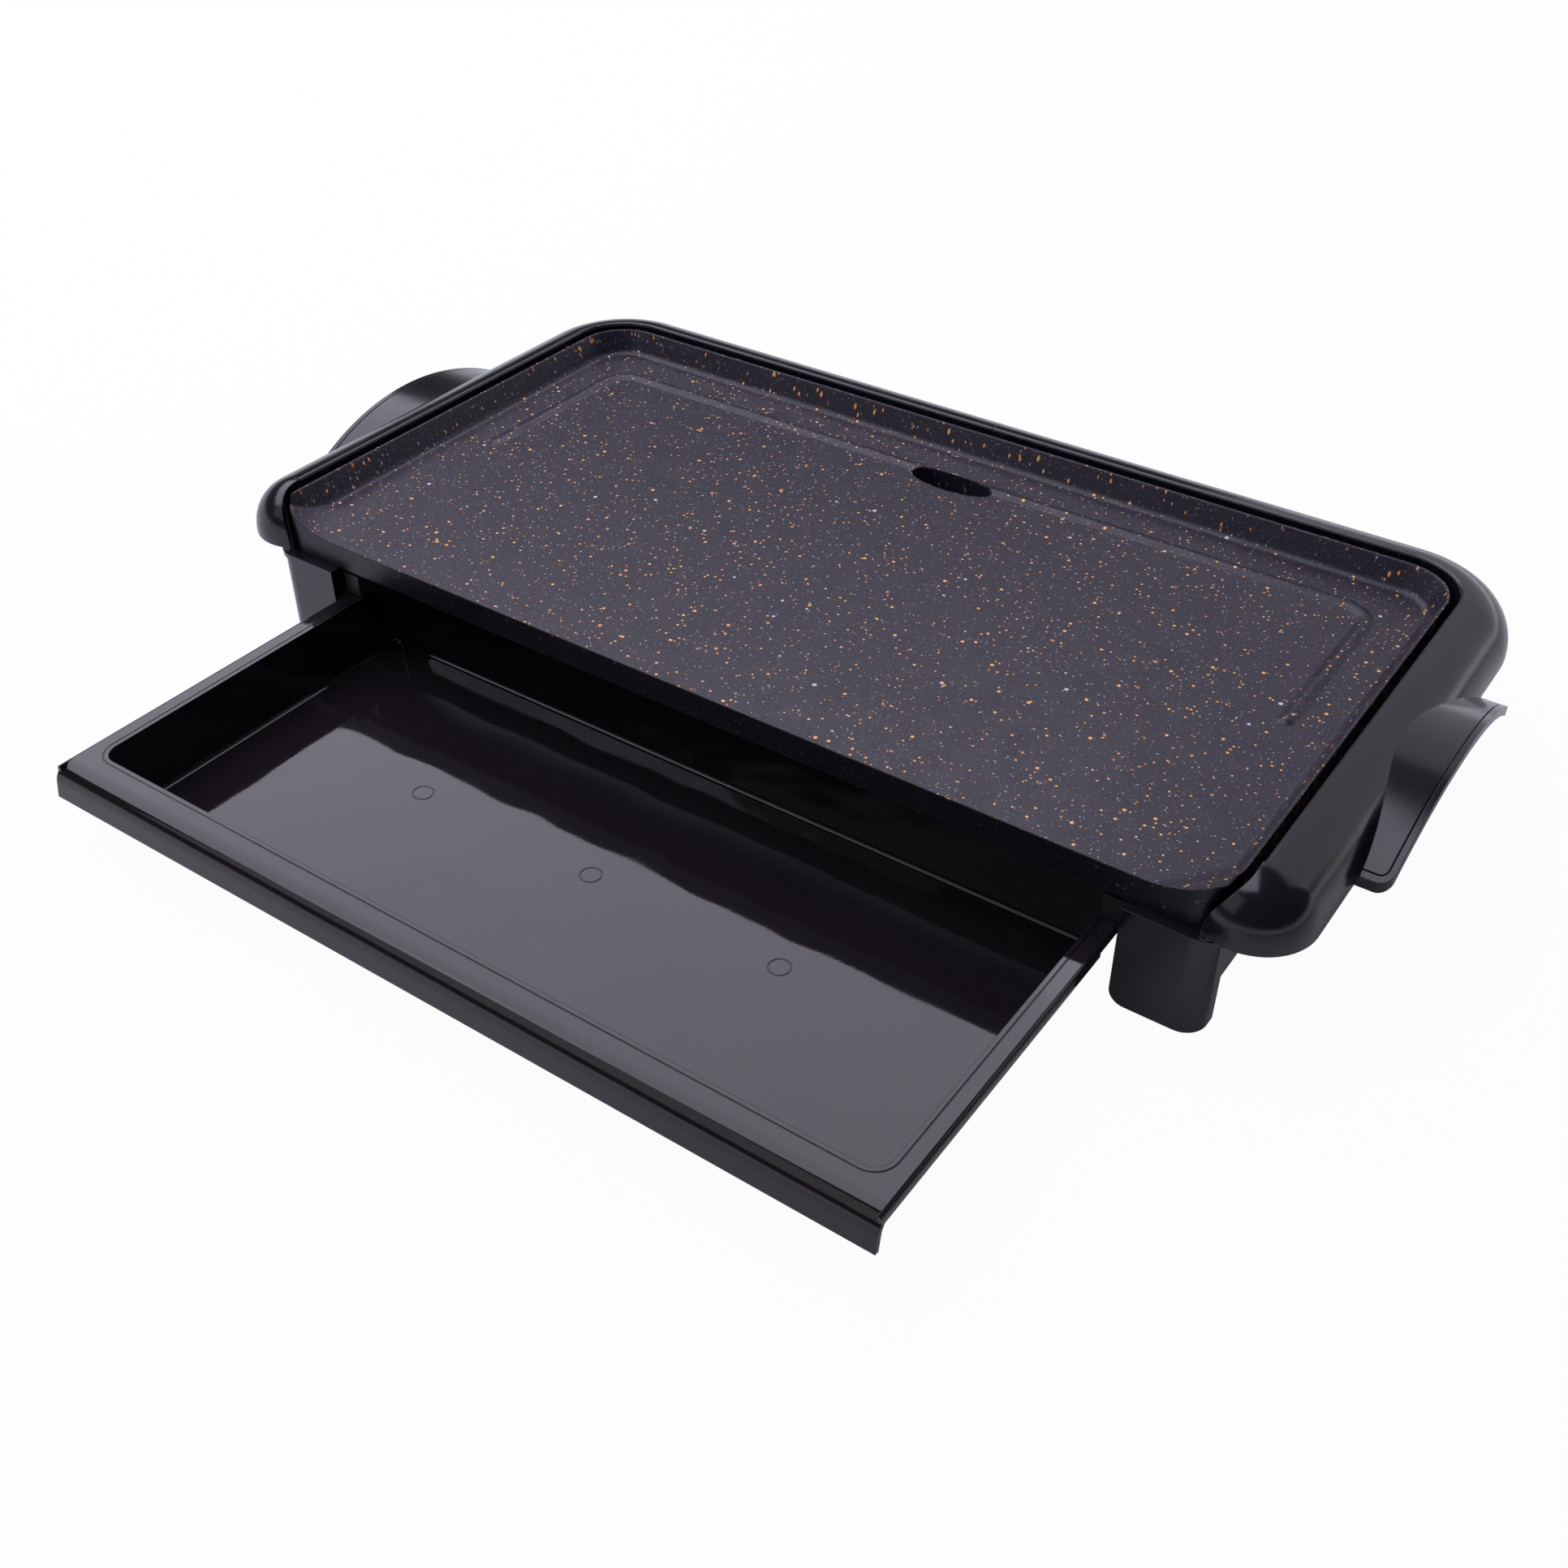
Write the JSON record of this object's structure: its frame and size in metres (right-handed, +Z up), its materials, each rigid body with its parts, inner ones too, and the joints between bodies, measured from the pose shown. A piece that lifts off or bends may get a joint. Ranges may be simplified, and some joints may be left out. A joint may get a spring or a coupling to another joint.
{
  "type": "table grill",
  "caption": "Electric table grill: cast non-stick plate in a gloss black base with side handles, a pull-out tray drawer at the front and a grease cup at the back.",
  "frame": {"origin": "on the table, under the middle of the outline with the drawer pulled out", "axes": "+X along the plate to the right as seen from the drawer side, +Y to the back, +Z up"},
  "size_m": [0.585, 0.463, 0.0763],
  "materials": {
    "nonstick_coating": "fine-textured dark non-stick coating with amber and pale grey specks",
    "gloss_black": "gloss black moulded plastic",
    "drawer_black": "polished black moulded plastic",
    "satin_black": "satin black moulded plastic",
    "heatproof_black": "matt black heat-resistant moulding",
    "sheet_steel": "bright aluminised sheet steel",
    "element_sheath": "dull grey steel sheath",
    "pin_steel": "plated steel, satin",
    "screw_steel": "zinc-plated steel",
    "brass": "drawn brass tube",
    "ceramic": "unglazed white ceramic",
    "rubber": "matt black rubber"
  },
  "bodies": {
    "base": {"griddle_plate": "nonstick_coating", "heating_element": "element_sheath", "terminal_pins": "pin_steel", "pin_collars": "ceramic", "probe_sleeve": "brass", "inlet_shroud": "heatproof_black", "heat_shield": "sheet_steel", "base_left": "gloss_black", "base_right": "gloss_black", "handle_cover_left": "gloss_black", "handle_cover_right": "gloss_black", "runner_left": "satin_black", "runner_right": "satin_black", "plate_screws": "screw_steel", "plate_spacers": "screw_steel", "runner_screws": "screw_steel", "seam_bracket": "sheet_steel", "seam_screws": "screw_steel", "foot_front_left": "rubber", "foot_front_right": "rubber", "foot_back_left": "rubber", "foot_back_right": "rubber"},
    "drawer": {"drawer_tray": "drawer_black"},
    "cup": {"grease_cup": "drawer_black"}
  },
  "joints": [
    {"name": "drawer_slide", "type": "slide", "parent": "base", "child": "drawer", "axis": [0, 1, 0], "range_m": [0, 0.164]},
    {"name": "cup_slide", "type": "slide", "parent": "base", "child": "cup", "axis": [0, 1, 0], "range_m": [0, 0.05]}
  ]
}
